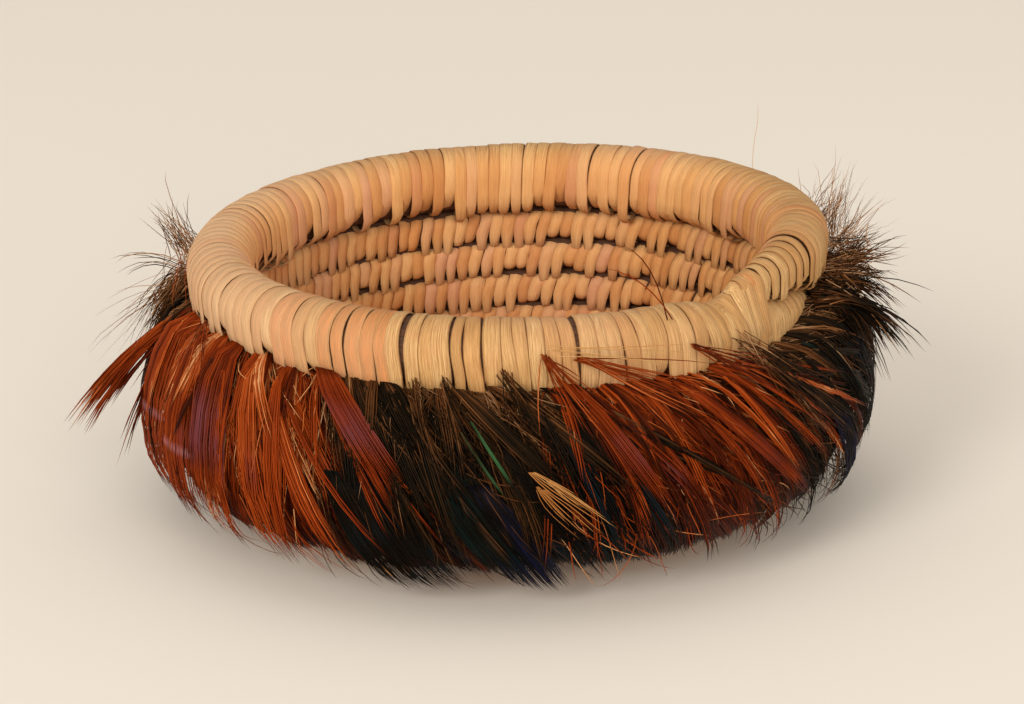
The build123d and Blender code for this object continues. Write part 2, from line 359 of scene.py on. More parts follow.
def barb_material(name, tones, sheen_colours, gloss, shine, tint, root):
    """Barbs: a tone for each lock, small differences between strands, and a painted iridescent sheen in glinting
    patches.
    """
    s = Shader(name)
    share, chance, tone, hue = s.value("share"), s.value("chance"), s.value("tone"), s.value("hue")
    patch = s.noise(s.place(), 120.0, 3.0, 0.6)
    spread = s.math("ADD", s.times(s.minus(chance, 0.5), 0.42), s.times(s.minus(patch, 0.5), 0.5))
    near_root = s.minus(1.0, s.times(share, 2.6), True)
    spread = s.math("ADD", spread, s.times(near_root, root))
    plain = s.ramp(s.math("ADD", tone, spread, True), *tones)
    # Painted sheen: iridescent colours laid into the base colour in glinting noise patches, kept to strands with a
    # higher chance.
    sheen_colour = s.ramp(s.math("ADD", hue, s.times(s.minus(chance, 0.5), 0.08), True), *sheen_colours)
    glint = s.noise(s.place(), 75.0, 2.0, 0.5)
    sheen_amount = s.times(s.over(glint, 0.38, 5.0), s.times(hue, 4.0, True), True)
    sheen_amount = s.times(sheen_amount, s.over(chance, 0.2, 2.6))
    coloured = s.mix(sheen_amount, plain, sheen_colour)
    near = s.math("ABSOLUTE", s.minus(share, s.value("mark")))
    band = s.times(s.minus(1.0, s.times(near, 45.0, True)), s.math("GREATER_THAN", s.value("mark"), 0.01))
    marked = s.mix(s.times(band, 0.4), coloured, linear(176, 122, 128))
    return s.finish(marked, gloss, None, Specular_IOR_Level=shine, Specular_Tint=linear(*tint))


# In each look below, the second ramp gives the colours of the painted iridescent sheen.
COPPER = dict(
    tones=((0.0, 28, 8, 3), (0.25, 72, 20, 4), (0.5, 126, 44, 8), (0.75, 154, 62, 16), (0.9, 184, 94, 42),
           (1.0, 216, 152, 98)),
    sheen_colours=((0.0, 92, 30, 14), (0.5, 116, 62, 70), (1.0, 120, 84, 122)),
    gloss=0.4, shine=0.14, tint=(255, 190, 150), root=0.05)
DARK = dict(
    tones=((0.0, 7, 5, 4), (0.3, 18, 13, 7), (0.5, 42, 27, 13), (0.7, 88, 52, 26), (0.88, 128, 82, 46),
           (1.0, 178, 134, 94)),
    sheen_colours=((0.0, 16, 16, 14), (0.14, 70, 128, 76), (0.3, 10, 40, 26), (0.6, 8, 26, 34), (0.8, 14, 18, 46),
          (1.0, 34, 20, 52)),
    gloss=0.38, shine=0.08, tint=(255, 220, 190), root=0.34)
BUFF = dict(
    tones=((0.0, 120, 66, 24), (0.5, 190, 124, 60), (1.0, 226, 178, 112)),
    sheen_colours=((0.0, 190, 124, 60), (1.0, 226, 178, 112)),
    gloss=0.45, shine=0.25, tint=(255, 230, 200), root=0.0)
BARB_VALUES = ("share", "chance", "tone", "hue", "mark")
STITCH_VALUES = ("along", "across", "chance", "stain", "inside")


STRAND_LEVELS = (0.16, 0.33, 0.5, 0.67, 0.84)


def strand_master():
    """A tapered three-sided strand from 0 to 1 along Z, cut at a few levels."""
    bpy.ops.object.select_all(action="DESELECT")
    bpy.ops.mesh.primitive_cone_add(vertices=3, radius1=1, radius2=0, depth=1, location=(0, 0, 0.5))
    bpy.ops.object.transform_apply(location=True, rotation=True, scale=True)
    bpy.ops.object.mode_set(mode="EDIT")
    for level in STRAND_LEVELS:
        bpy.ops.mesh.select_all(action="SELECT")
        bpy.ops.mesh.bisect(plane_co=(0, 0, level), plane_no=(0, 0, 1))
    bpy.ops.object.mode_set(mode="OBJECT")
    places, faces = read_master(bpy.context.object)
    heights = np.round(places[:, 2], 4)
    levels = np.unique(heights)
    girth = np.maximum(1 - heights, 0.04)
    places[:, :2] *= ((1 - heights**6) / girth)[:, None]
    return places, faces, levels, np.searchsorted(levels, heights)


def band_master(around, across):
    """A closed loop of splint: how far around, out and across each vertex lies."""
    minor = 0.1
    bpy.ops.object.select_all(action="DESELECT")
    bpy.ops.mesh.primitive_torus_add(
        major_segments=around, minor_segments=across, major_radius=1, minor_radius=minor, location=(0, 0, 0))
    places, faces = read_master(bpy.context.object)
    angle = np.arctan2(places[:, 1], places[:, 0])
    out = (np.hypot(places[:, 0], places[:, 1]) - 1) / minor
    across = places[:, 2] / minor
    flat = lambda v: np.sign(v) * np.abs(v) ** 0.6
    return angle, flat(out), flat(across), faces


def add_bands(batch, master, places, **values):
    """Adds bent copies of a loop of splint."""
    angle, _, across, faces = master
    batch.add(places, faces, along=angle[None] / math.pi, across=across[None], **values)


# Where the rim's stitches are wound tight, stained orange, or at the back: azimuths in degrees
TIGHT_UNTIL = -50
STAINED = (-46, -20)
BACK_FROM = 150
STAINED_SHARE = 0.85
STRAY_STAINS = 0.04
# Angles from the top of a stitch: where its foot narrows and over which arc, and the arc that closes it below
FOOT_START = 2.0
FOOT_ARC = 0.75
CLOSING_ARC = 0.3


def add_stitches(batch, coil, turns, random, width, thickness, slant, outer_lap, inner_lap, teeth, master):
    """Loops of splint round the coil; their feet run straight down over the round below and narrow to a tip."""
    angle, out, across, _ = master
    count = len(turns)
    one = lambda: random.standard_normal((count, 1))
    radius, _, _, half = coil.centre(turns[:, None])
    turned = np.abs(angle)[None]
    tip = np.clip((turned - FOOT_START) / FOOT_ARC, 0, 1) ** 2
    narrow = 1 - teeth * tip
    sway = (slant + 0.14 * MM * one()) * np.cos(angle)[None] + 0.07 * MM * one() * np.sin(
        3 * angle[None] + 6 * random.random((count, 1)))
    azimuth = (np.degrees(coil.azimuth + 2 * math.pi * turns[:, None]) + 100) % 360 - 100
    loose = np.clip((azimuth - TIGHT_UNTIL) / 20, 0.25, 1) * np.where(azimuth > BACK_FROM, 0.5, 1)
    offset = across[None] * width / 2 * (1.18 - 0.08 * loose + 0.13 * loose * one()) * narrow + sway
    offset = offset + 0.08 * width * loose * one()
    places_turns = turns[:, None] + offset / (2 * math.pi * radius)
    lap = 0.09 * MM * (0.6 + 0.5 * one()) * across[None] * (1 - 0.6 * tip)
    reach = half - thickness / 2 + out[None] * thickness / 2 + 0.05 * MM * one() + lap
    side = np.abs(np.sin(angle))[None]
    laps = np.where(angle > 0, inner_lap, outer_lap)[None] * np.clip(1 + 0.5 * one(), 0.1, 2)
    straight = np.clip(half / np.maximum(side, 0.15) - half, 0, laps) * (turned > math.pi / 2)
    reach = reach + straight * np.clip((math.pi - turned) / CLOSING_ARC, 0, 1)
    places = coil.point(places_turns, reach, angle[None])
    azimuth = azimuth[:, 0]
    on_stain = (azimuth > STAINED[0]) & (azimuth < STAINED[1]) & (turns < 1)
    stain = np.where(on_stain, random.random(count) < STAINED_SHARE, False).astype(float)
    stain = np.maximum(stain, (random.random(count) < STRAY_STAINS) * random.random(count))
    # The inner side of each loop, which the splint material tints with painted warm bounce light.
    inside = np.clip(np.sin(angle) * 1.6 - 0.5, 0, 1)[None]
    add_bands(batch, master, places, chance=random.random(count), stain=stain, inside=inside)


def add_bundle(batch, coil, first, last, inset, web_up, web_down):
    """The foundation inside the stitches, deepened to touch the rounds beside it, closed at both ends."""
    steps_a_turn, sides = 90, 12
    steps = max(int(abs(first - last) * steps_a_turn), 8)
    turns = np.linspace(first, last, steps)
    angle = np.arange(sides) * 2 * math.pi / sides
    _, _, _, half = coil.centre(turns)
    web = np.where(np.cos(angle) > 0, web_up, web_down) * np.abs(np.cos(angle)) ** 3
    reach = np.maximum(half - inset, 0.2 * MM)[:, None] + web[None]
    places = coil.point(turns[:, None], reach, angle[None])
    faces = []
    for step in range(steps - 1):
        for side in range(sides):
            a, b = step * sides + side, step * sides + (side + 1) % sides
            faces.append((a, a + sides, b + sides, b))
    faces.append(tuple(range(sides)))
    faces.append(tuple((steps - 1) * sides + side for side in range(sides))[::-1])
    batch.add(places.reshape(1, -1, 3), faces, along=np.repeat(turns, sides)[None],
              across=np.tile(np.cos(angle), steps)[None])


# How far the bundle's dark, painted-shade surface reaches into the gaps between rounds.
WEB = 0.9 * MM


class BASKET_OT_body(bpy.types.Operator):
    """Stitches the base and the wall round their grass bundle"""

    bl_idname = "basket.body"
    bl_label = "Coiled body"

    def execute(self, context):
        sizes = context.scene.basket_sizes
        coil = Coil(sizes)
        random = np.random.default_rng(11)
        splint, grass = splint_material(), grass_material()
        master = band_master(24, 6)
        stretches = {"base": (coil.start_turns, coil.corner_turns), "wall": (coil.corner_turns, coil.rim_turns)}
        for name, (first, last) in stretches.items():
            stitches = Batch(*STITCH_VALUES)
            turns = coil.evenly(first, last, sizes.stitch_pitch)
            add_stitches(stitches, coil, turns, random, width=sizes.stitch_pitch, thickness=0.45 * MM,
                         slant=-0.6 * MM, outer_lap=1.2 * MM, inner_lap=2.1 * MM, teeth=0.55, master=master)
            settle(stitches.build(f"{name}_stitches", splint), "straw", f"{name}_coil")
            bundle = Batch("along", "across")
            add_bundle(bundle, coil, first, last, inset=0.5 * MM, web_up=WEB, web_down=WEB)
            settle(bundle.build(f"{name}_bundle", grass), "straw", f"{name}_coil")
        return {"FINISHED"}


def add_bindings(batch, coil, turns, random, width, thickness):
    """Loops round the rim's thin end and its start below it, so that the two run into one."""
    master = band_master(36, 8)
    angle, out, across, _ = master
    count = len(turns)
    one = lambda: random.standard_normal((count, 1))
    lean = 0.9 * MM * (1 + 0.3 * one())
    radius = coil.centre(turns[:, None])[0]
    places_turns = turns[:, None] + (across[None] * width / 2 * (1 + 0.1 * one()) - lean * np.cos(angle)[None]) / (
        2 * math.pi * radius)
    above, below = coil.centre(np.maximum(places_turns, 0)), coil.centre(places_turns + 1)
    fading_turns = 0.035
    sunk = np.clip(1 + places_turns / fading_turns, 0, 1)
    away = below[0] + (above[0] - below[0]) * sunk
    up = below[1] + (above[1] - below[1]) * sunk
    turned = angle[None] + below[2]
    top = (np.cos(turned) * (away - below[0]) + np.sin(turned) * (up - below[1])) > (below[3] - above[3] * sunk)
    half = np.where(top, above[3] * sunk, below[3]) - thickness * 0.2 + out[None] * thickness / 2
    half = half + 0.08 * MM * across[None] + 0.04 * MM * one()
    away = np.where(top, away, below[0]) + half * np.cos(turned)
    up = np.where(top, up, below[1]) + half * np.sin(turned)
    places = outward(coil.azimuth + 2 * math.pi * places_turns) * away[..., None]
    places[..., 2] = up
    add_bands(batch, master, places, chance=random.random(count), stain=0.15 * random.random(count))


BINDING_TURNS = np.arange(-0.028, 0.014, 0.0068)


class BASKET_OT_rim(bpy.types.Operator):
    """Wraps the thick rim and binds down its end"""

    bl_idname = "basket.rim"
    bl_label = "Wrapped rim"

    def execute(self, context):
        sizes = context.scene.basket_sizes
        coil = Coil(sizes)
        random = np.random.default_rng(23)
        stitches = Batch(*STITCH_VALUES)
        turns = coil.evenly(coil.rim_turns, 0.0, sizes.stitch_pitch)
        add_stitches(stitches, coil, turns, random, width=sizes.stitch_pitch, thickness=0.34 * MM,
                     slant=-0.3 * MM, outer_lap=1.1 * MM, inner_lap=1.3 * MM, teeth=0.5, master=band_master(28, 8))
        add_bindings(stitches, coil, BINDING_TURNS, random, width=sizes.stitch_pitch * 1.05, thickness=0.36 * MM)
        splint = bpy.data.materials["splint"]
        settle(stitches.build("rim_stitches", splint), "straw", "rim_wrapping")
        bundle = Batch("along", "across")
        add_bundle(bundle, coil, coil.rim_turns, 0.0, inset=0.34 * MM, web_up=0.0, web_down=WEB)
        settle(bundle.build("rim_bundle", bpy.data.materials["grass_bundle"]), "grass", "rim_foundation")
        return {"FINISHED"}


def lay_strands(batch, master, lines, face, width, **values):
    """Bends copies of the strand along lines: copies by levels by three."""
    places, faces, levels, level = master
    along = np.gradient(lines, levels, axis=1)
    side = np.cross(along, face)
    side /= np.maximum(np.linalg.norm(side, axis=-1, keepdims=True), 1e-9)
    out = np.cross(side, along)
    out /= np.maximum(np.linalg.norm(out, axis=-1, keepdims=True), 1e-9)
    width = np.asarray(width)[:, None, None]
    bent = (lines[:, level] + side[:, level] * places[None, :, 0:1] * width
            + out[:, level] * places[None, :, 1:2] * width * 0.6)
    bent[..., 2] = np.maximum(bent[..., 2], 0.1 * MM)
    grown = {}
    for name, value in values.items():
        value = np.asarray(value)
        grown[name] = value[:, level] if value.ndim == 2 else value
    batch.add(bent, faces, **grown)


class Skirt:
    """The bulging surface that the feathers hang in, by azimuth and share of its height."""

    tip = (43.4 * MM, 1.6 * MM)
    bulge = 7.8 * MM
    length = 36 * MM
    girth = 50 * MM

    def __init__(self, coil, inset=0.0):
        self.coil, self.inset = coil, inset

    def root(self, azimuth):
        """Under the rim's outer side; the rim is one round deeper where its end lies on its start."""
        turns = ((azimuth - self.coil.azimuth) / (2 * math.pi)) % 1
        roots = []
        for row in (turns, turns + 1):
            radius, height, _, half = self.coil.centre(row)
            roots.append((radius + half * 0.56, height - half * 0.8))
        blend = np.clip((turns - 0.02) / 0.12, 0, 1)
        blend = blend * blend * (3 - 2 * blend)
        return [lower * (1 - blend) + upper * blend for upper, lower in zip(*roots)]

    def place(self, azimuth, share, lift):
        """Places and outward directions."""
        radius, height = self.root(azimuth)
        drop = height - self.tip[1]
        points = ((radius, height), (radius + 0.62 * self.bulge, height - 0.15 * drop),
                  (radius + 1.7 * self.bulge, self.tip[1] + 0.25 * drop), self.tip)
        s = share
        weights = ((1 - s) ** 3, 3 * s * (1 - s) ** 2, 3 * s**2 * (1 - s), s**3)
        slopes = (-3 * (1 - s) ** 2, 3 * (1 - s) * (1 - 3 * s), 3 * s * (2 - 3 * s), 3 * s**2)
        line = [sum(w * p[i] for w, p in zip(weights, points)) for i in (0, 1)]
        run = [sum(w * p[i] for w, p in zip(slopes, points)) for i in (0, 1)]
        size = np.hypot(*run)
        out, up = -run[1] / size, run[0] / size
        lift = lift * (1 - 0.45 * np.clip(s, 0, 1) ** 2) - self.inset * np.clip(3 * s, 0, 1)
        face = outward(azimuth) * out[..., None]
        face[..., 2] = up
        spot = outward(azimuth) * (line[0] + lift * out)[..., None]
        spot[..., 2] = line[1] + lift * up
        return spot, face


def add_locks(batch, master, skirt, random, azimuth, start, end, lean, bend, width, lift, tone, hue=0.0, mark=0.0,
              spacing=0.3 * MM, thickness=0.17 * MM, pointed=0.2, ragged=0.18, gather=0.4, chance=1.0, sheen_at=None,
              pull=0.6, flare=0.9 * MM):
    """Locks of barbs that hang in the skirt, each a row of strands that part towards their ends."""
    locks = len(azimuth)
    full = lambda value: np.broadcast_to(np.asarray(value, float), (locks,))
    width = full(width)
    count = np.maximum((width / spacing).astype(int), 3)
    lock = np.repeat(np.arange(locks), count)
    order = np.concatenate([np.arange(c) for c in count])
    across = (order + 0.5) / count[lock] * 2 - 1 + random.normal(0, 0.25, len(lock)) / count[lock]
    pick = lambda value: full(value)[lock][:, None]
    t = master[2][None, :]
    finish = 1 - pointed * across[:, None] ** 2 - ragged * random.random((len(lock), 1)) ** 1.5
    t = t * finish
    span = pick(end) - pick(start)
    share = pick(start) + span * t
    slant = np.tan(pick(lean) + pick(bend) * t / 2)
    splits = np.maximum((count / 4).astype(int), 2)[lock][:, None]
    phase = random.random(locks)[lock][:, None]
    clump = (np.floor((across[:, None] + 1) / 2 * splits + phase) + 0.5 - phase) / splits * 2 - 1
    pulled = across[:, None] + (clump - across[:, None]) * pull * np.clip((t - 0.45) / 0.55, 0, 1) ** 1.5
    profile = gather + (1 - gather) * np.sin(np.clip(t / 0.4, 0, 1) * math.pi / 2)
    offset = pulled * pick(width) / 2 * profile
    turned = pick(azimuth) + (skirt.length * span * t * slant + offset) / skirt.girth
    tilt = random.normal(0, 0.16, locks)[lock][:, None]
    rise = (pick(lift) + offset * tilt - (offset**2) / (pick(width) + 1 * MM) * 0.4
            + random.normal(0, 0.05 * MM, len(lock))[:, None]
            + (random.normal(0, 0.06 * MM, len(lock))[:, None] + 0.5 * MM * tilt) * t
            + (flare + 0.5 * MM * random.normal(0, 1, locks)[lock][:, None]) * t**3)
    lines, face = skirt.place(turned, np.clip(share, -0.05, 1.05), rise * np.clip(share * 5 + 0.25, 0, 1))
    # Painted sheen: how much iridescent colour each strand shows, on copper only in a band along the share.
    tint = pick(hue) * (np.ones_like(share) if sheen_at is None else np.exp(-(((share - sheen_at) / 0.08) ** 2)))
    lay_strands(batch, master, lines, face, thickness * (0.8 + 0.4 * random.random(len(lock))), share=share,
                chance=np.clip(random.normal(0.5, 0.3 * chance, len(lock)), 0, 1), tone=full(tone)[lock],
                hue=tint, mark=full(mark)[lock])


def add_hairs(batch, master, skirt, random, azimuth, lean, start, length, spread, lift, tone, width):
    """Loose single barbs: wavy, some standing off the skirt."""
    count = len(azimuth)
    azimuth = azimuth[:, None]
    begin = start[0] + (start[1] - start[0]) * random.random((count, 1))
    size = length * (0.5 + random.random((count, 1)))
    angle = lean[:, None] + np.radians(random.normal(0, spread, (count, 1)))
    t = master[2][None, :]
    wave = 0.35 * MM * np.sin(t * (3 + 4 * random.random((count, 1))) + 6 * random.random((count, 1))) * t
    bow = np.radians(random.normal(0, 16, (count, 1)))
    share = begin + size * np.cos(angle + bow * t / 2) * t / skirt.length
    turned = azimuth + (size * np.sin(angle + bow * t / 2) * t + wave) / skirt.girth
    rise = lift[0] + (lift[1] - lift[0]) * random.random((count, 1)) ** 2 * (0.3 + 0.7 * t) + 0.3 * MM
    lines, face = skirt.place(turned, share, rise * np.clip(share * 5 + 0.2, 0, 1))
    lay_strands(batch, master, lines, face, width * (0.7 + 0.6 * random.random(count)), share=share,
                chance=random.random(count), tone=np.clip(random.normal(tone, 0.12, count), 0, 1))


def around(points):
    """Places from azimuths in degrees, radii and heights in millimetres."""
    points = np.array(points, float)
    places = outward(np.radians(points[:, 0])) * points[:, 1:2] * MM
    places[:, 2] = points[:, 2] * MM
    return places


def add_tuft(batch, master, random, path, count, spreads, width, tone, ragged, wavy):
    """A loose tuft along a path of three places, with its spread at each of them."""
    start, middle, end = around(path)
    t = master[2][None, :, None]
    finish = 1 - ragged * random.random((count, 1, 1)) ** 1.3
    t = t * finish
    shake = random.normal(0, 1, (3, count, 1, 3)) * np.array(spreads)[:, None, None, None] * MM
    shake[1] = shake[2] * 0.45 + shake[1] * 0.3
    lines = ((1 - t) ** 2 * (start + shake[0]) + 2 * t * (1 - t) * (middle + shake[1]) + t**2 * (end + shake[2]))
    lines = lines + wavy * MM * np.sin(t * 9 + random.random((count, 1, 3)) * 6) * t
    face = np.broadcast_to(np.cross(end - start, [0.3, 0.2, 1.0]), lines.shape) + 0.0
    lay_strands(batch, master, lines, face, width * (0.7 + 0.6 * random.random(count)), share=t[..., 0],
                chance=random.random(count), tone=np.clip(random.normal(tone, 0.12, count), 0, 1))


# Name, first and last azimuth, leans along it, tufts above and below, arc of a bunch, widths and splay
GROUPS = [
    ("copper_left", -79, -33, (-8, 4, 20, 26), 3, 2, 7.0, (0.8, 3.4), 9),
    ("dark_front", -32, 5, (24, 30, 34, 36), 3, 2, 6.0, (1.0, 4.0), 8),
    ("copper_right", 4, 41, (28, 33, 40, 48), 3, 3, 7.0, (0.6, 2.0), 12),
    ("dark_right", 39, 96, (46, 44, 34, 22), 3, 3, 6.0, (0.8, 3.4), 9),
    ("copper_back_right", 94, 138, (24, 30, 28, 30), 3, 2, 6.0, (0.8, 3.4), 10),
    ("dark_back", 136, 183, (28, 30, 30, 30), 3, 3, 6.0, (1.0, 4.0), 10),
    ("copper_back_left", 181, 227, (30, 28, 26, 24), 3, 2, 6.0, (0.8, 3.4), 10),
    ("dark_left", 225, 284, (24, 16, 6, -6), 4, 3, 6.0, (1.0, 4.0), 10),
]


# Broad smooth feathers: azimuth, start, end, lean, bend, width, lift, tone, painted sheen, pale band and narrowing
VANES = {
    "copper_left": [
        (-73, 0.05, 0.85, -4, 4, 10, 2.6, 0.5, 0.3, 0.5, 0.35),
        (-63, 0.1, 0.82, 2, 4, 9, 3.0, 0.5, 0.35, 0.54, 0.4),
        (-55, 0.02, 0.72, 6, 6, 7, 3.2, 0.42, 0.5, 0.0, 0.4),
        (-47, 0.05, 0.87, 14, 4, 5, 2.6, 0.56, 0.0, 0.0, 0.4),
        (-33, 0.03, 0.47, 42, 0, 5, 3.6, 0.46, 0.4, 0.0, 0.75)],
    "dark_front": [
        (-27, 0.44, 0.92, 28, 2, 6, 2.2, 0.06, 0.5, 0.0, 0.5),
        (-24, 0.4, 0.93, 30, 2, 8, 2.0, 0.06, 0.56, 0.0, 0.5),
        (-12, 0.35, 0.8, 32, 4, 6, 2.4, 0.06, 0.46, 0.0, 0.5),
        (-6, 0.45, 0.94, 30, 2, 8, 1.6, 0.04, 0.75, 0.0, 0.5),
        (-6, 0.22, 0.56, 32, 4, 0.5, 3.3, 0.3, 0.15, 0.0, 0.5),
        (-7.5, 0.26, 0.5, 33, 4, 0.3, 3.1, 0.3, 0.17, 0.0, 0.5)],
    "copper_right": [
        (9, 0.02, 0.6, 30, 4, 2.6, 3.0, 0.4, 0.3, 0.0, 0.4),
        (28, 0.1, 0.7, 42, 6, 3.4, 2.8, 0.34, 0.3, 0.0, 0.4)],
    "dark_right": [
        (62, 0.35, 0.95, 34, 6, 9, 2.4, 0.06, 0.8, 0.0, 0.5),
        (76, 0.3, 0.9, 28, 4, 9, 2.4, 0.08, 0.7, 0.0, 0.5)],
    "copper_back_left": [
        (200, 0.1, 0.8, 26, 6, 8, 2.8, 0.46, 0.35, 0.6, 0.4)],
    "dark_back": [
        (160, 0.3, 0.9, 28, 4, 8, 2.4, 0.08, 0.6, 0.0, 0.5)],
}

# Locks of the buff feather: azimuth, start, end, lean, bend, width, lift, tone and spacing
BUFF_LOCKS = [(5.2, 0.43, 0.63, 50, 4, 1.8, 3.6, 0.62, 0.34), (3.6, 0.45, 0.57, 38, 6, 1.4, 3.2, 0.3, 0.3),
              (2.8, 0.4, 0.6, 54, 2, 3.0, 3.9, 0.6, 0.6), (4.0, 0.46, 0.68, 42, 8, 4.0, 3.5, 0.4, 0.6)]

# Loose tufts: path by azimuth, radius and height, then count, spreads, width, tone, ragged and wavy
TUFTS = {
    "copper_spray": ("COPPER", [
        ([(-86, 46.5, 31), (-85, 57, 26), (-82.5, 66, 13.8)], 30, (0.5, 0.6, 0.9), 0.17, 0.6, 0.25, 0.0),
        ([(-84, 46.5, 31), (-83, 57, 25), (-81, 63.5, 14.5)], 26, (0.5, 0.6, 1.0), 0.17, 0.5, 0.25, 0.0),
        ([(-88, 46.5, 30), (-86, 54, 25), (-82, 61, 16)], 16, (0.5, 0.6, 0.9), 0.16, 0.62, 0.3, 0.1),
        ([(-82, 46.5, 30), (-80, 54, 24), (-78, 58, 11)], 18, (0.5, 0.6, 1.0), 0.16, 0.35, 0.3, 0.1),
        ([(29, 46.2, 39), (25, 44.5, 45.5), (18.2, 42, 46.4)], 1, (0, 0, 0), 0.09, 0.35, 0.0, 0.0),
        ([(28, 46.2, 39), (27.5, 43.5, 47.2), (23.6, 40, 48.5)], 1, (0, 0, 0), 0.09, 0.3, 0.0, 0.0),
        ([(5.5, 48.3, 36.5), (8, 52, 33.5), (13, 54.5, 27)], 20, (0.25, 0.7, 2.2), 0.1, 0.55, 0.4, 0.1),
        ([(11, 48.2, 35.9), (18, 52, 34.4), (30, 53.5, 29)], 20, (0.25, 0.7, 2.2), 0.1, 0.6, 0.4, 0.1),
        ([(31.5, 48.4, 35.2), (37, 52, 33), (46, 54, 27)], 14, (0.25, 0.7, 2.2), 0.1, 0.45, 0.4, 0.1),
        ([(-62, 48.6, 34.5), (-61, 52, 31), (-58, 55, 24)], 16, (0.3, 0.7, 2.2), 0.1, 0.55, 0.4, 0.1),
        ([(-76, 47.8, 41), (-75, 49.4, 38), (-73, 49.6, 33)], 4, (0.5, 0.6, 1.0), 0.06, 0.6, 0.4, 0.2)]),
    "dark_spray": ("DARK", [
        ([(-15.6, 47.9, 32.6), (-13.5, 52, 28.6), (-8, 54, 21)], 24, (0.5, 0.8, 2.0), 0.08, 0.42, 0.4, 0.1),
        ([(-11, 47.9, 33.0), (-8.5, 52, 30), (-3, 54, 22)], 24, (0.5, 0.8, 2.0), 0.08, 0.42, 0.4, 0.1),
        ([(-1, 47.9, 34.0), (2, 52, 31), (6, 54, 25)], 24, (0.5, 0.8, 2.0), 0.08, 0.42, 0.4, 0.1),
        ([(43, 48, 33.4), (48, 52.5, 29.5), (57, 55, 20)], 60, (0.9, 1.2, 3.0), 0.07, 0.5, 0.5, 0.2),
        ([(74, 47, 33), (79, 54, 33), (83, 59.2, 22.7)], 60, (1.2, 1.2, 1.7), 0.12, 0.3, 0.4, 0.1),
        ([(80, 47, 34), (82, 53, 36), (82, 58, 31)], 60, (1.2, 1.3, 1.8), 0.09, 0.5, 0.5, 0.1),
        ([(78, 47, 33), (80, 53, 31), (81, 56, 22)], 70, (1.6, 1.6, 2.2), 0.11, 0.4, 0.4, 0.1),
        ([(86, 47, 34), (86, 52, 37), (86, 57.5, 35)], 60, (1.6, 1.4, 2.2), 0.07, 0.72, 0.5, 0.3)]),
    "down_left": ("DARK", [
        ([(-93, 47, 33.5), (-92, 51.5, 34), (-90, 53.5, 25)], 150, (1.8, 1.3, 1.9), 0.055, 0.7, 0.5, 0.3),
        ([(-90, 47, 33), (-89, 51, 30), (-88, 53.5, 21)], 90, (1.6, 1.2, 1.8), 0.07, 0.55, 0.5, 0.2),
        ([(-94, 47.2, 34), (-89, 54, 40.5), (-84, 59, 36.5)], 7, (0.6, 0.8, 1.2), 0.07, 0.6, 0.3, 0.2),
        ([(-92, 47.2, 33), (-88, 55, 33), (-83, 61, 24)], 18, (1.2, 1.2, 2.6), 0.045, 0.9, 0.4, 0.3),
        ([(-104, 47, 33), (-104, 52, 38), (-104, 53.5, 42)], 60, (2.2, 1.6, 2.0), 0.055, 0.85, 0.5, 0.4)]),
    "down_right": ("DARK", [
        ([(96, 47.5, 36), (98, 50, 41), (99, 51.6, 47)], 44, (2.0, 1.6, 2.0), 0.055, 0.86, 0.6, 0.5),
        ([(93, 47.5, 35), (96, 52, 38), (99, 56, 41)], 60, (2.0, 1.8, 2.6), 0.055, 0.86, 0.6, 0.5),
        ([(104, 47.5, 36), (106, 50.5, 40), (107, 53, 44)], 56, (2.2, 1.8, 2.4), 0.055, 0.9, 0.6, 0.5),
        ([(88, 47, 34), (88, 51, 37), (88, 54, 38)], 110, (2.6, 1.8, 2.4), 0.075, 0.7, 0.5, 0.4)]),
    "buff_feather": ("BUFF", [
        ([(125, 46.4, 40), (127.6, 49, 47), (127.8, 50, 52.4)], 1, (0, 0, 0), 0.06, 0.8, 0.0, 0.3),
        ([(6.5, 49.8, 37.8), (16, 52.2, 37.6), (30, 50.8, 34.2)], 5, (0.5, 0.5, 1.2), 0.05, 1.0, 0.4, 0.1),
        ([(-23, 48, 5.8), (-21.6, 47.8, 4.6), (-20, 47.2, 3.2)], 1, (0, 0, 0), 0.16, 1.0, 0.0, 0.0),
        ([(0.8, 49.4, 8.4), (1.6, 49.4, 8.1), (2.6, 49.2, 7.9)], 1, (0, 0, 0), 0.3, 0.9, 0.0, 0.0)]),
}


# Locks of the under layer in a degree, depth of that layer, and how much lighter the left group is
UNDER_DENSITY = 4
UNDER_INSET = 2.6 * MM
LEFT_LIGHTER = 0.12
# Passes of loose hairs: range of their starts, length in millimetres, share and tone
HAIR_PASSES = (((0.0, 0.3), 11, 1.0, 0.6), ((-0.02, 0.05), 7, 0.7, 0.55), ((0.2, 0.7), 9, 0.6, 0.5))


def lean_along(leans, place):
    """The lean of feathers by their place in a group, from 0 to 1."""
    return np.radians(np.interp(place, (0, 0.35, 0.7, 1), leans))


def shifted(azimuth, start, lean):
    """Azimuths where leaning feathers begin that start lower than the rim."""
    return azimuth + Skirt.length / Skirt.girth * start * np.tan(lean)


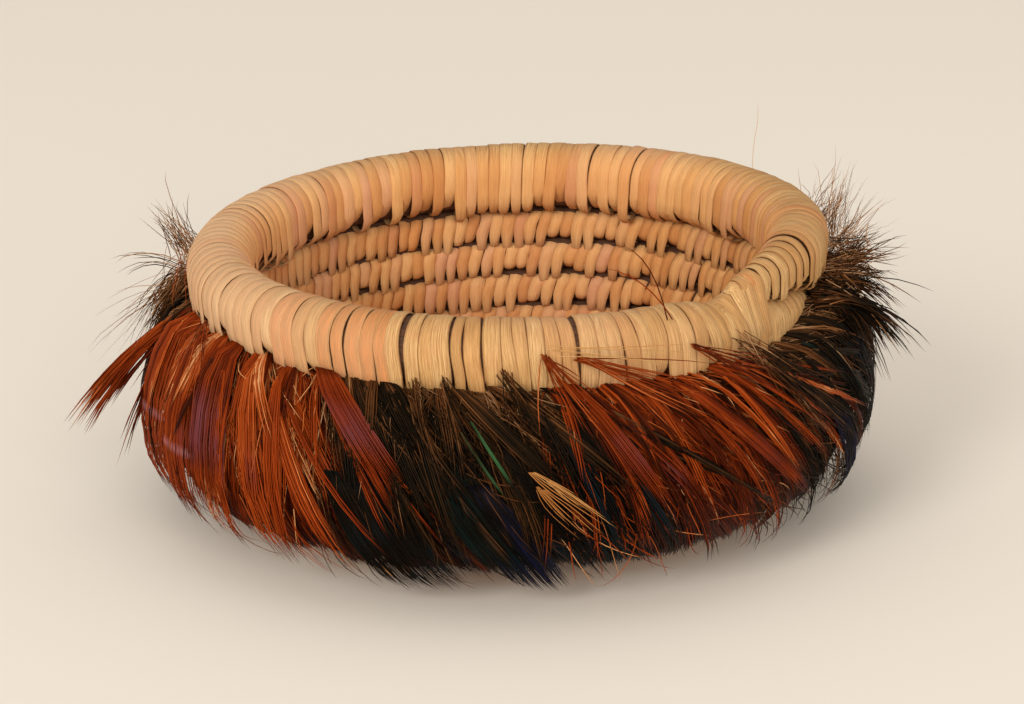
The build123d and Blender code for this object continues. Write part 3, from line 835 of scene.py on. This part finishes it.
def lay_under(batch, master, coil, random, group, is_copper):
    """The dense layer close to the wall, evenly spread; its low tones are painted shade for the depths of the skirt.
    """
    _, first, last, leans, *_ = group
    count = int((last - first) * UNDER_DENSITY)
    place = random.random(count)
    azimuth = np.radians(first + (last - first) * place)
    start = random.uniform(0.15, 0.6, count)
    lean = lean_along(leans, place) * 0.8 + np.radians(random.normal(0, 8, count))
    # Painted sheen: most locks of the dark groups get iridescent glints.
    hue = np.where(random.random(count) < 0.6, random.uniform(0.5, 0.95, count), 0.0)
    add_locks(batch, master, Skirt(coil, UNDER_INSET), random, shifted(azimuth, start, lean), start,
              np.minimum(start + random.uniform(0.4, 0.7, count), 0.95), lean,
              np.radians(random.normal(0, 12, count)), random.uniform(3.0, 6.0, count) * MM,
              random.uniform(0, 1.6, count) * MM, random.uniform(0.02, 0.3, count), 0.0 if is_copper else hue,
              spacing=0.4 * MM, thickness=0.3 * MM, ragged=0.1, pull=0.2, flare=0.6 * MM)


def lay_over(batch, master, coil, random, group, is_copper):
    """The bunched feathers on top, with their loose hairs."""
    name, first, last, leans, _, _, bunch_arc, widths, splay = group
    arc = last - first
    skirt = Skirt(coil)

    def scatter(count):
        """Places in bunches, from 0 to 1, their azimuths, and how far aside in its bunch each lies."""
        bunch = (np.floor(random.random(count) * arc / bunch_arc) + 0.5) * bunch_arc / arc
        aside = np.clip(random.normal(0, 1, count), -1.7, 1.7)
        place = np.clip(bunch + aside * 0.22 * bunch_arc / arc, 0, 1)
        return place, np.radians(first + arc * place), aside

    place, azimuth, aside = scatter(int(arc * 10 / sum(widths)))
    count = len(place)
    start = np.minimum(np.abs(random.normal(0.0, 0.2, count)), 0.28) * (random.random(count) < 0.6)
    lean = lean_along(leans, place) + np.radians(splay * aside + random.normal(0, 6, count))
    size = random.uniform(0.36, 0.8, count) * (0.35 + 0.65 * np.cos(lean))
    if is_copper:
        tone = 0.08 + LEFT_LIGHTER * (name == "copper_left") + 0.68 * random.random(count) ** 1.3
    else:
        tone = random.uniform(0.0, 0.5, count)
    # Painted sheen: some dark locks and a few copper ones get iridescent glints.
    green_sheen = np.where(random.random(count) < 0.4, random.uniform(0.34, 0.75, count), 0)
    if is_copper:
        hue = random.uniform(0, 0.5, count) * (random.random(count) < 0.3) * (place < 0.8)
    else:
        hue = green_sheen * (start > 0.1)
    add_locks(batch, master, skirt, random, shifted(azimuth, start, lean), start,
              np.minimum(start + size, 0.92), lean, np.radians(random.normal(-4, 10, count)),
              random.uniform(*widths, count) * MM, random.uniform(0.2, 3.0, count) * MM, tone, hue,
              gather=0.25, sheen_at=0.5 if is_copper else None)
    for start, length, share, tone in HAIR_PASSES:
        place, azimuth, aside = scatter(int(arc * share * (5 if is_copper else 11)))
        lean = lean_along(leans, place) + np.radians(1.5 * splay * aside)
        add_hairs(batch, master, skirt, random, azimuth, lean, start, length * MM, 9, (0.4 * MM, 3.0 * MM),
                  tone + 0.2 * is_copper, 0.085 * MM)


def lay_vanes(batch, master, coil, random, name, is_copper):
    """The broad smooth feathers of a group; on copper ones the painted sheen keeps to a patch."""
    skirt = Skirt(coil)
    for azimuth, start, end, lean, bend, width, lift, tone, hue, mark, gather in VANES.get(name, ()):
        add_locks(batch, master, skirt, random, np.radians([azimuth]), start, end, math.radians(lean),
                  math.radians(bend), width * MM, lift * MM, tone, hue, mark, spacing=0.24 * MM,
                  thickness=0.15 * MM, pointed=0.06, ragged=0.08, gather=gather, chance=0.9,
                  sheen_at=start + 0.55 * (end - start) if is_copper else None, pull=0.3)


class BASKET_OT_feathers(bpy.types.Operator):
    """Hangs the groups of copper and dark feathers under the rim"""

    bl_idname = "basket.feathers"
    bl_label = "Feathers"

    def execute(self, context):
        coil = Coil(context.scene.basket_sizes)
        master = strand_master()
        copper, dark = barb_material("copper_barbs", **COPPER), barb_material("dark_barbs", **DARK)
        for number, group in enumerate(GROUPS):
            name, upper, lower = group[0], group[4], group[5]
            random = np.random.default_rng(100 + number)
            is_copper = name.startswith("copper")
            material, slot = (copper, "copper_feather") if is_copper else (dark, "dark_feather")
            under = Batch(*BARB_VALUES)
            lay_under(under, master, coil, random, group, is_copper)
            settle(under.build(f"{name}_lower_feathers", material), slot,
                   *[f"{name}_lower_tuft_{tuft + 1}" for tuft in range(lower)])
            over = Batch(*BARB_VALUES)
            lay_over(over, master, coil, random, group, is_copper)
            lay_vanes(over, master, coil, random, name, is_copper)
            settle(over.build(f"{name}_upper_feathers", material), slot,
                   *[f"{name}_upper_tuft_{tuft + 1}" for tuft in range(upper)])
        return {"FINISHED"}


class BASKET_OT_tufts(bpy.types.Operator):
    """Adds the tufts and single hairs that stand off the skirt"""

    bl_idname = "basket.tufts"
    bl_label = "Loose tufts"

    def execute(self, context):
        master = strand_master()
        looks = {"COPPER": ("copper_barbs", "copper_feather"), "DARK": ("dark_barbs", "dark_feather"),
                 "BUFF": ("buff_barbs", "buff_feather")}
        barb_material("buff_barbs", **BUFF)
        for number, (name, (look, tufts)) in enumerate(TUFTS.items()):
            random = np.random.default_rng(300 + number)
            batch = Batch(*BARB_VALUES)
            for path, count, spreads, width, tone, ragged, wavy in tufts:
                add_tuft(batch, master, random, path, count, spreads, width * MM, tone, ragged, wavy)
            if name == "buff_feather":
                skirt = Skirt(Coil(context.scene.basket_sizes))
                for azimuth, begin, end, lean, bend, width, lift, tone, spacing in BUFF_LOCKS:
                    add_locks(batch, master, skirt, random, np.radians([azimuth]), begin, end, math.radians(lean),
                              math.radians(bend), width * MM, lift * MM, tone, spacing=spacing * MM,
                              thickness=0.075 * MM, ragged=0.5, gather=0.3, pull=0.2)
            material, slot = looks[look]
            settle(batch.build(name, bpy.data.materials[material]), slot, f"{name}_tuft_1")
        return {"FINISHED"}


class BASKET_OT_knot(bpy.types.Operator):
    """Fills the middle of the base with its starting knot"""

    bl_idname = "basket.knot"
    bl_label = "Starting knot"

    def execute(self, context):
        coil = Coil(context.scene.basket_sizes)
        random = np.random.default_rng(5)
        bpy.ops.object.select_all(action="DESELECT")
        bpy.ops.mesh.primitive_uv_sphere_add(segments=16, ring_count=10, radius=1)
        places, faces = read_master(bpy.context.object)
        batch = Batch(*STITCH_VALUES)
        height = coil.base_height + coil.coil_radius
        azimuth = np.arctan2(places[:, 0], -places[:, 1])
        # The knot reaches into the coil's first round, which lies farther out the farther it has turned
        beyond = (coil.start_turns - (azimuth - coil.azimuth) / (2 * math.pi)) % 1
        reach = coil.centre(coil.start_turns - beyond)[0] - coil.coil_radius * 0.85
        spread = np.sqrt(np.hypot(places[:, 0], places[:, 1])) * reach
        shaped = outward(azimuth) * spread[:, None]
        shaped[:, 2] = (places[:, 2] + 1) * height / 2
        batch.add(shaped[None], faces, along=places[None, :, 0], across=places[None, :, 1] * 0.5, chance=[0.4])
        settle(batch.build("knot", bpy.data.materials["splint"]), "grass", "start_knot")
        return {"FINISHED"}


# Name, place, size and power of each lamp
LAMPS = (
    ("key", (-1.1, -1.7, 1.1), 1.0, 21.5),
    ("fill", (0.5, -2.1, 0.7), 1.6, 24.0),
    ("top", (0.0, 0.2, 1.2), 1.0, 1.0),
)
LAMP_COLOUR = (1.0, 0.97, 0.93)
WORLD_COLOUR = (1.0, 0.95, 0.875, 1)
WORLD_STRENGTH = 0.58
FLOOR_SIZE = 6
AIM = Vector((0, 0, 20 * MM))
SENSOR_WIDTH = 36
CAMERA_SHIFT = (0.0024, 0.0113)
NEAREST = 10 * MM


class StageSettings(bpy.types.PropertyGroup):
    """Camera, light and floor."""

    elevation: turn("Elevation", "Height of the view", 18.03)
    roll: turn("Roll", "Turn of the view", 1.2)
    distance: length("Distance", "From the camera to the basket", 0.52)
    lens: bpy.props.FloatProperty(name="Lens", description="Focal length in millimetres", default=122.4)
    floor_colour: bpy.props.FloatVectorProperty(
        name="Floor", description="Colour of the floor", size=4, subtype="COLOR", default=linear(246, 237, 225))


class BASKET_OT_stage(bpy.types.Operator):
    """Sets up the floor, the lights and the camera"""

    bl_idname = "basket.stage"
    bl_label = "Stage"

    def execute(self, context):
        stage = context.scene.basket_stage
        bpy.ops.object.select_all(action="DESELECT")
        bpy.ops.mesh.primitive_plane_add(size=FLOOR_SIZE, location=(0, 0, 0))
        floor = context.object
        floor.name = "floor"
        s = Shader("floor")
        floor.data.materials.append(s.finish(tuple(stage.floor_colour), 0.8, Specular_IOR_Level=0.1))
        for name, place, size, power in LAMPS:
            self.lamp(name, place, size, power)
        world = bpy.data.worlds.new("studio")
        context.scene.world = world
        world.use_nodes = True
        background = world.node_tree.nodes["Background"]
        background.inputs["Color"].default_value = WORLD_COLOUR
        background.inputs["Strength"].default_value = WORLD_STRENGTH
        self.camera(context, stage)
        context.scene.view_settings.view_transform = "Standard"
        return {"FINISHED"}

    def lamp(self, name, place, size, power):
        """A round soft lamp turned to the basket."""
        bpy.ops.object.light_add(type="AREA", location=place)
        lamp = bpy.context.object
        lamp.name = name
        lamp.data.shape = "DISK"
        lamp.data.size = size
        lamp.data.energy = power
        lamp.data.color = LAMP_COLOUR
        lamp.rotation_euler = (AIM - Vector(place)).to_track_quat("-Z", "Y").to_euler()

    def camera(self, context, stage):
        """A long lens in front, a little above the basket."""
        away = stage.distance
        place = AIM + Vector((0, -away * math.cos(stage.elevation), away * math.sin(stage.elevation)))
        bpy.ops.object.camera_add(location=place)
        camera = context.object
        tilt = Matrix.Rotation(math.pi / 2 - stage.elevation, 3, "X") @ Matrix.Rotation(-stage.roll, 3, "Z")
        camera.rotation_euler = tilt.to_euler()
        camera.data.lens = stage.lens
        camera.data.sensor_width = SENSOR_WIDTH
        camera.data.shift_x, camera.data.shift_y = CAMERA_SHIFT
        camera.data.clip_start = NEAREST
        context.scene.camera = camera


class BASKET_PT_panel(bpy.types.Panel):
    """Basket pieces"""

    bl_label = "Basket"
    bl_idname = "BASKET_PT_panel"
    bl_space_type = "VIEW_3D"
    bl_region_type = "UI"
    bl_category = "Basket"

    def draw(self, context):
        for operator in OPERATORS:
            self.layout.operator(operator.bl_idname)
        for settings in (context.scene.basket_sizes, context.scene.basket_stage):
            for name in type(settings).__annotations__:
                self.layout.prop(settings, name)


OPERATORS = (BASKET_OT_stage, BASKET_OT_body, BASKET_OT_rim, BASKET_OT_knot, BASKET_OT_feathers,
             BASKET_OT_tufts)
CLASSES = (BasketSizes, StageSettings, *OPERATORS, BASKET_PT_panel)


def register():
    for cls in CLASSES:
        bpy.utils.register_class(cls)
    bpy.types.Scene.basket_sizes = bpy.props.PointerProperty(type=BasketSizes)
    bpy.types.Scene.basket_stage = bpy.props.PointerProperty(type=StageSettings)


def unregister():
    del bpy.types.Scene.basket_stage
    del bpy.types.Scene.basket_sizes
    for cls in reversed(CLASSES):
        bpy.utils.unregister_class(cls)


def main():
    """Builds everything in order."""
    register()
    bpy.ops.basket.stage()
    bpy.ops.basket.body()
    bpy.ops.basket.rim()
    bpy.ops.basket.knot()
    bpy.ops.basket.feathers()
    bpy.ops.basket.tufts()


if __name__ == "__main__":
    main()
